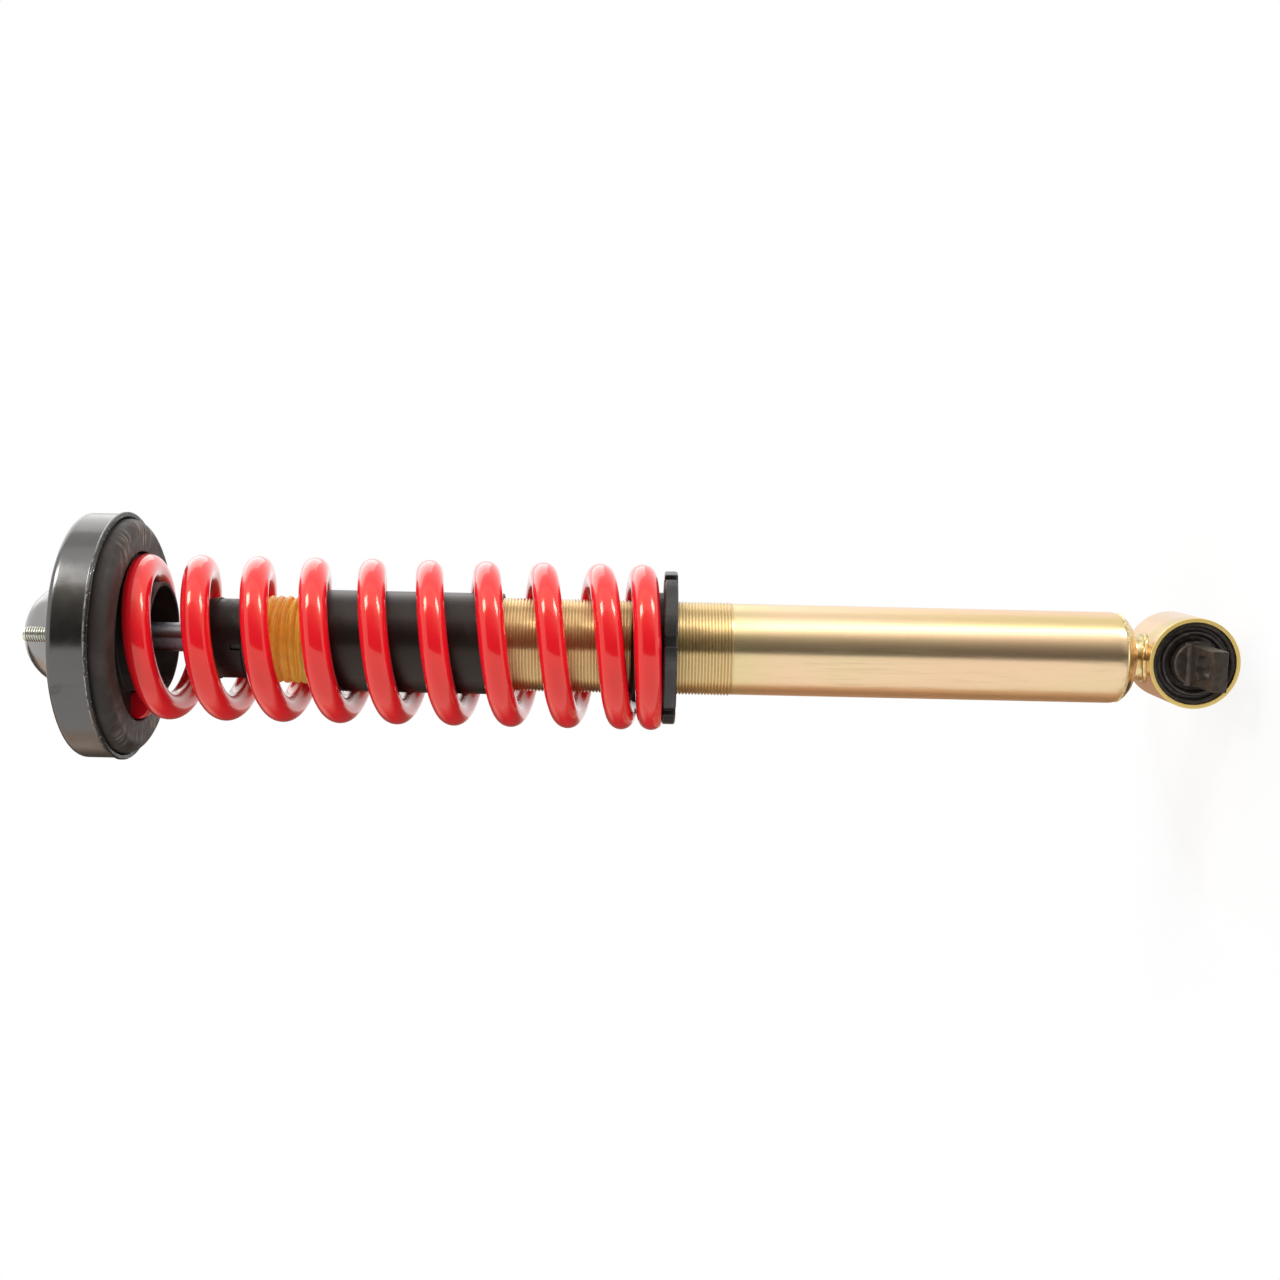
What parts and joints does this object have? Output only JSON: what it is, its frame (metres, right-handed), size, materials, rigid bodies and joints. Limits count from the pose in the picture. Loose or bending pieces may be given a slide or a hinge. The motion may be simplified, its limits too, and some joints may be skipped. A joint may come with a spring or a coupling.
{
  "type": "coilover strut",
  "caption": "Height-adjustable coilover strut: cup-type stud mount with rubber isolator, coil spring on a threaded damper body and a slotted bar-pin eye.",
  "frame": {"origin": "centre of the top mount's seating plane, on the strut's axis", "axes": "+Z along the strut, up through the studs into the vehicle; the lower eye's axis is parallel to Y"},
  "size_m": [0.136, 0.136, 0.6584],
  "materials": {
    "cup_coating": "satin dark grey dip coat over pressed steel",
    "bright_zinc": "bright zinc plate, slightly yellow",
    "isolator_rubber": "moulded rubber, dusty and rubbed",
    "plain_steel": "machined steel",
    "rod_chrome": "ground and polished hard chrome",
    "seal_plastic": "bronze-filled low-friction plastic",
    "black_plastic": "satin moulded plastic",
    "yellow_foam": "skinned polyurethane foam",
    "dust_plastic": "satin drawn plastic tube",
    "spring_paint": "glossy powder coat",
    "collar_anodise": "satin dark anodised",
    "yellow_zinc": "yellow chromate zinc plate with a faint rainbow sheen",
    "seal_rubber": "smooth",
    "bush_rubber": "moulded, slightly glossy",
    "pin_phosphate": "dark grey phosphate on forged steel"
  },
  "bodies": {
    "top_mount": {"mount_cup": "cup_coating", "dome_cap": "cup_coating", "mount_studs": "bright_zinc", "isolator": "isolator_rubber", "upper_bush": "isolator_rubber", "lower_bush": "isolator_rubber", "upper_washer": "plain_steel", "lower_washer": "plain_steel", "spacer_sleeve": "plain_steel", "rod_nut": "bright_zinc", "piston_rod": "rod_chrome", "rebound_stop": "plain_steel", "valve_shims": "plain_steel", "piston": "plain_steel", "piston_band": "seal_plastic", "piston_nut": "bright_zinc"},
    "bumper": {"bump_stop_cup": "black_plastic", "bump_stop": "yellow_foam", "dust_tube": "dust_plastic"},
    "coil": {"spring": "spring_paint"},
    "spring_seat": {"spring_seat_ring": "black_plastic"},
    "collar": {"adjuster_collar": "collar_anodise"},
    "damper": {"body_tube": "yellow_zinc", "gland_nut": "plain_steel", "rod_seal": "seal_rubber", "rod_guide": "plain_steel", "inner_tube": "plain_steel", "foot_valve": "plain_steel", "base_cap": "yellow_zinc", "eye_ring": "yellow_zinc", "bush_rubber": "bush_rubber"},
    "bar": {"bar_pin": "pin_phosphate"}
  },
  "joints": [
    {"name": "bumper_slide", "type": "slide", "parent": "top_mount", "child": "bumper", "axis": [0, 0, 1], "range_m": [0, 0.045]},
    {"name": "swivel", "type": "hinge", "parent": "top_mount", "child": "coil", "pos_m": [0, 0, -0.025], "axis": [0, 0, 1], "continuous": true},
    {"name": "stroke", "type": "slide", "parent": "coil", "child": "spring_seat", "axis": [0, 0, 1], "range_m": [0, 0.069], "stiffness_N_per_m": 60000, "deforming": ["spring"]},
    {"name": "collar_turn", "type": "hinge", "parent": "spring_seat", "child": "collar", "pos_m": [0, 0, -0.32], "axis": [0, 0, -1], "range_deg": [0, 4116]},
    {"name": "ride_height", "type": "slide", "parent": "spring_seat", "child": "damper", "axis": [0, 0, 1], "range_m": [0, 0.02]},
    {"name": "eye_twist", "type": "hinge", "parent": "damper", "child": "bar", "pos_m": [0, 0, -0.6016], "axis": [0, 1, 0], "range_deg": [-15, 15], "stiffness_Nm_per_rad": 60}
  ],
  "couplings": [
    {"joint": "collar_turn", "follows": "ride_height", "rad_per_m": 3590.4}
  ]
}
